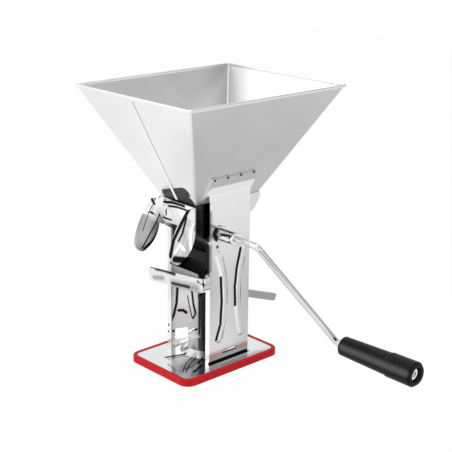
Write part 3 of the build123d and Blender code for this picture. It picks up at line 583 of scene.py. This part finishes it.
# Painted highlights that glow on the cheeks and the panel.
hood_painted_highlights = [
    (0.42, 0.8, [side_line(14.0, CHEEK_X, (-58, 206), (-72, 188), (-78, 168)),
                 front_line(14.0, HOOD_Y, (-16, 198), (18, 198))]),
    (0.75, 0.3, [side_line(1.8, NEAR_CHEEK_X, (-55, 196), (-60, 186), (-60, 172), (-58, 162))]),
    (0.45, 0.5, [side_line(1.8, NEAR_CHEEK_X, (-84, 166), (-76, 174), (-69, 166))]),
]
hood_steel = polished("hood_steel", 0.12, layers=[(PAINTED_BLACK, CRISP, hood_painted_dark)], bright=hood_painted_highlights)
print("strokes on the hood:", len(hood_painted_dark))

# %% [markdown]
# The cross trough under the hood is polished as well. Painted dark lines run along its wall and its
# lower edge, the top one for the shade inside it and the rest as reflections, and broad patches of
# painted grey shade the wall.

# %% Juice trough
TROUGH_Y, LOW_EDGE_Y = -50, -49
# Painted shade inside the trough and painted reflections on its wall.
trough_painted_dark = [
    front_line(2.6, TROUGH_Y, (-44, 117), (-29, 119), (-8, 119.5)),
    front_line(1.0, TROUGH_Y, (-54, 116), (-6, 120.5)),
    front_line(2.2, TROUGH_Y, (-12, 106), (5, 108), (20, 110)),
    front_line(1.8, LOW_EDGE_Y, (-16, 101), (2, 102)),
    (1.5, (36, -49, 122), (47, -47, 119)),
]
# Broad patches of painted grey shade.
trough_painted_grey = [front_line(5.5, TROUGH_Y, (-10, 106), (34, 112)),
               front_line(3.0, TROUGH_Y, (-48, 104), (-30, 108))]
trough_painted_layers = [(0.40, 0.9, trough_painted_grey), (0.03, 0.6, trough_painted_dark)]
trough_steel = polished("trough_steel", 0.12, layers=trough_painted_layers)
print("strokes on the trough:", len(trough_painted_dark))

# %% [markdown]
# The base plate mirrors the plates' feet and the room above them, so its painted reflections run
# towards the chamber, and a painted shadow line lies at the crank side plate's foot. Two broad
# bands of painted grey reflection keep it from looking like white paper.

# %% Base plate
BASE_Z = 8
# Painted reflections, and a painted shadow line at the crank side plate's foot.
base_painted_dark = [
    flat_line(1.6, BASE_Z, (42.5, -34), (42.5, 33)),
    flat_line(2.2, BASE_Z, (-12, -60), (-4, -38), (3, -8)),
    flat_line(0.7, BASE_Z, (-6, -62), (2, -38), (10, -8)),
    flat_line(0.8, BASE_Z, (34, -71), (18, -52), (8, -31)),
    flat_line(1.0, BASE_Z, (38, -70), (24, -52), (14, -33)),
    flat_line(2.2, BASE_Z, (44, -62), (36, -42)),
    flat_line(1.0, BASE_Z, (30, -68), (30, -52)),
    flat_line(1.6, BASE_Z, (28, -42), (20, -26)),
    flat_line(0.5, BASE_Z, (6, -72), (24, -75), (38, -73)),
]
# Two broad bands of painted grey reflection.
base_painted_grey = [flat_line(9.0, BASE_Z, (52, -60), (58, 40)),
             flat_line(9.0, BASE_Z, (26, -60), (16, -30))]
base_painted_layers = [(0.45, 0.6, base_painted_grey), (PAINTED_BLACK, CRISP, base_painted_dark)]
base_steel = polished("base_steel", 0.14, (0.80, 0.82, 0.82, 1.0), layers=base_painted_layers)
print("strokes on the base:", len(base_painted_dark))

# %% [markdown]
# The drive tube and its bush are small and round. Painted dark lines along the tube, two painted
# dark dots near its end, and a bent painted line round the bush give them painted reflections, the
# black edges of turned steel. The push nut at the grip's end faces the lamp, so a painted highlight
# makes it glow a little.

# %% Tube, bush and push nut
TUBE_TOP_Y, TUBE_SIDE_Y, TUBE_END_Y = -19.5, -23.9, -24.6
BUSH_X = 41.5
NUT_X, GRIP_Y, GRIP_Z = 280.3, 66.0, 49.0
# Painted reflections along the tube, and two painted dark dots near its end.
tube_painted_dark = [
    front_line(1.3, TUBE_TOP_Y, (41, 184.6), (66, 184.6)),
    front_line(1.1, TUBE_SIDE_Y, (41, 173.0), (66, 173.0)),
    front_line(0.5, TUBE_SIDE_Y, (46, 181.0), (64, 181.0)),
    front_line(1.5, TUBE_END_Y, (64.8, 179.6), (65.2, 179.6)),
    front_line(1.5, TUBE_END_Y, (64.8, 174.4), (65.2, 174.4)),
]
# Painted reflections round the bush.
bush_painted_dark = [
    side_line(2.2, BUSH_X, (-23.6, 184.8), (-27.0, 178.8), (-24.8, 170.4)),
    side_line(0.8, BUSH_X, (-11.9, 185.8), (-18.8, 187.0)),
]
# A painted highlight that makes the push nut glow.
nut_painted_highlight = [(0.7, 0.3, [front_line(9.0, GRIP_Y, (NUT_X, GRIP_Z), (NUT_X + 1, GRIP_Z))])]
tube_steel = polished("tube_steel", 0.12, layers=[(PAINTED_BLACK, CRISP, tube_painted_dark)])
bush_steel = polished("bush_steel", 0.14, layers=[(PAINTED_BLACK, CRISP, bush_painted_dark)])
nut_steel = polished("nut_steel", 0.20, bright=nut_painted_highlight)
print("strokes on the tube and bush:", len(tube_painted_dark) + len(bush_painted_dark))

# %% [markdown]
# The rubber and the plastics are not metal, so they take their colour from the base colour. The
# rubber edging has a dull, slightly dusty surface; the grip is moulded with a fine texture, which
# is a small bump of noise, and one pale line of painted highlight glows along it, where it mirrors
# a lamp.

# %% Rubber and plastic finishes
MOULD_CLOUDS = 35.0
PALE_SHARE = 0.12            # how much paler the patches are
PALE_LIFT = 0.004            # keeps the pale patches of a near-black plastic visible
# A painted highlight line that glows along the grip.
PAINTED_SHEEN_TONE = grey(0.075)
GRIP_PAINTED_SHEEN = [(3.4, (180.0, 53.6, 52.5), (280.0, 51.6, 53.2))]


def moulded(name, colour, rough, texture_scale, depth, mirror=0.5, sheen=()):
    """Moulded rubber or plastic: fine pebbled bump, uneven gloss, faint change in colour, and a
    glowing painted sheen line if one is given.
    """
    finish = Finish(name)
    even = (1.0, 1.0, 1.0)
    pebble = finish.noise(finish.stretched(even), texture_scale, detail=2.0)
    clouds = finish.noise(finish.stretched(even), MOULD_CLOUDS, detail=3.0)
    paler = tuple(min(1.0, c * (1.0 + PALE_SHARE) + PALE_LIFT) for c in colour[:3]) + (1.0,)
    paint = finish.mix(clouds.smooth(0.35, 0.75), colour, paler)
    gloss = rough + (pebble - 0.5) * 0.12 + (clouds - 0.5) * 0.10
    lift = finish.bump(pebble, depth, 0.6)
    values = {"Base_Color": paint, "Roughness": gloss, "Normal": lift, "Specular_IOR_Level": mirror}
    if sheen:
        glow = finish.mix(finish.strokes(sheen, 0.95), BLACK, PAINTED_SHEEN_TONE)
        values.update(Emission_Color=glow, Emission_Strength=1.0)
    return finish.surface(**values)


red_rubber = moulded("red_rubber", (0.58, 0.004, 0.010, 1.0), 0.50, 900.0, 0.00004, mirror=0.2)
black_rubber = moulded("black_rubber", (0.02, 0.02, 0.02, 1.0), 0.55, 900.0, 0.00005)
grip_plastic = moulded("grip_plastic", (0.005, 0.005, 0.0055, 1.0), 0.42, 1500.0, 0.00004,
                       mirror=0.12, sheen=GRIP_PAINTED_SHEEN)
rotor_plastic = moulded("rotor_plastic", (0.014, 0.014, 0.015, 1.0), 0.25, 1200.0, 0.00003)
bush_plastic = moulded("bush_plastic", (0.07, 0.07, 0.072, 1.0), 0.35, 1200.0, 0.00003)
print("materials in all:", len(bpy.data.materials))

# %% [markdown]
# Each piece names a material slot, and most take the finish of that slot. The pieces with painted
# strokes of their own, and those that lie in the dark and are painted with shade, get theirs by
# name.

# %% Dress the nodes
FINISH_OF_SLOT = {
    "hopper_steel": hopper_steel,
    "plate_steel": plate_steel,
    "bright_steel": bright_steel,
    "base_steel": base_steel,
    "zinc_steel": rod_steel,
    "red_rubber": red_rubber,
    "black_rubber": black_rubber,
    "grip_plastic": grip_plastic,
    "rotor_plastic": rotor_plastic,
    "bush_plastic": bush_plastic,
}
OWN_FINISH = {
    "vacuum_lever": lever_steel,
    "right_side_plate": right_steel,
    "left_side_plate": left_steel,
    "splash_hood": hood_steel,
    "juice_trough": trough_steel,
    "chamber_shell": shaded_steel,
    "strainer_screen": shade_black_steel,
    "juice_chute": shade_black_steel,
    "hopper_front_seam": seam_steel,
    "hopper_back_seam": seam_steel,
    "tab_welds": weld_steel,
    "right_bush": bush_steel,
    "drive_tube": tube_steel,
    "pull_rod": shade_black_steel,
    "grip_push_nut": nut_steel,
}


def dress(piece, material):
    piece.data.materials.clear()
    piece.data.materials.append(material)


slot_of = {part["node"]: part["material_slot"] for part in frame["record"]["subparts"]}
for name, piece in nodes.items():
    dress(piece, OWN_FINISH.get(name, FINISH_OF_SLOT[slot_of[name]]))
print("dressed", len(slot_of), "nodes")

# %% [markdown]
# The diaphragm under the base is soft, so it is its own piece of rubber: a ring that stays
# pressed on the table, and a dished skin that the pull rod draws up. Both are sections turned
# round the cup's axis by spin, which is how such a cup is round in the first place.

# %% Sections of the vacuum cup
SKIN_STEPS = 8
HUB_MIDDLE, SKIN_HUB = 8.0, 15.0             # radii in its flat middle
TOP_OVERHANG = 1.5                           # the upper face starts its slope further out
SKIN_RUN = 14.0                              # width of the slope
SKIN_TOP, SKIN_UNDER = 8.4, 6.5
TOP_DROP, UNDER_DROP = 5.6, 5.4
SKIN_EDGE = [(38.4, 2.8), (38.9, 2.2), (38.9, 1.6), (38.4, 1.1)]    # radius and height
RIM_IN, RIM_OUT, RIM_LOW, RIM_HIGH = 39.6, 43.4, 1.6, 5.8
RIM_ROUND = 0.55
CORNER_STEPS = 4


def skin_profile():
    """Half section of the dished skin, from its top middle round to its lower middle."""
    upper = [(radius, SKIN_TOP) for radius in (0.0, HUB_MIDDLE, SKIN_HUB)]
    lower = [(radius, SKIN_UNDER) for radius in (SKIN_HUB, HUB_MIDDLE, 0.0)]
    for step in range(1, SKIN_STEPS + 1):
        share = step / SKIN_STEPS
        sink = 0.5 - 0.5 * math.cos(math.pi * share)
        upper.append((SKIN_HUB + TOP_OVERHANG + SKIN_RUN * share, SKIN_TOP - TOP_DROP * sink))
        lower.insert(0, (SKIN_HUB + SKIN_RUN * share, SKIN_UNDER - UNDER_DROP * sink))
    return upper + SKIN_EDGE + lower


def rim_profile():
    """Closed section of the thick ring, with rounded corners."""
    corners = ((RIM_IN, RIM_LOW), (RIM_OUT, RIM_LOW), (RIM_OUT, RIM_HIGH), (RIM_IN, RIM_HIGH))
    points = []
    for corner, (radius, height) in enumerate(corners):
        for step in range(CORNER_STEPS + 1):
            angle = math.radians(180 + 90 * corner + 90 / CORNER_STEPS * step)
            across, up = RIM_ROUND * math.cos(angle), RIM_ROUND * math.sin(angle)
            points.append((radius + across, height + up))
    return points


print("points round the skin and the rim:", len(skin_profile()), len(rim_profile()))

# %% [markdown]
# When the lever is let go, the skin sinks flat again. Here the skin and the rim are turned, the
# imported cup is hidden, and the skin gets a mesh of its own.

# %% Vacuum cup
CUP_PLACE = Vector((0.0, -6.0, 0.0)) * MM
SPIN_STEPS = 96
WELD_GAP = 1e-6


def turned(name, profile, closed):
    """A piece turned round the cup's upright axis, with its seam and its poles closed."""
    mesh = bmesh.new()
    places = [CUP_PLACE + Vector((radius, 0.0, height)) * MM for radius, height in profile]
    ring = [mesh.verts.new(place) for place in places]
    pairs = list(zip(ring, ring[1:])) + ([(ring[-1], ring[0])] if closed else [])
    edges = [mesh.edges.new(pair) for pair in pairs]
    bmesh.ops.spin(mesh, geom=ring + edges, cent=CUP_PLACE, axis=(0.0, 0.0, 1.0),
                   angle=2.0 * math.pi, steps=SPIN_STEPS, use_merge=True)
    bmesh.ops.remove_doubles(mesh, verts=mesh.verts, dist=WELD_GAP)
    bmesh.ops.recalc_face_normals(mesh, faces=mesh.faces)
    data = bpy.data.meshes.new(name)
    mesh.to_mesh(data)
    mesh.free()
    for face in data.polygons:
        face.use_smooth = True
    piece = bpy.data.objects.new(name, data)
    scene.collection.objects.link(piece)
    piece.data.materials.append(black_rubber)
    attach(piece, "frame")
    return piece


cup_skin = turned("cup_skin", skin_profile(), closed=False)
cup_rim = turned("cup_rim", rim_profile(), closed=True)
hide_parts("vacuum_cup")
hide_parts("vacuum_cup")
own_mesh(cup_skin)
print("cup faces:", len(cup_skin.data.polygons) + len(cup_rim.data.polygons))

# %% [markdown]
# Last, the script ends. The new pieces of the cup stay inside the old one.

# %% End
print("scene set up")
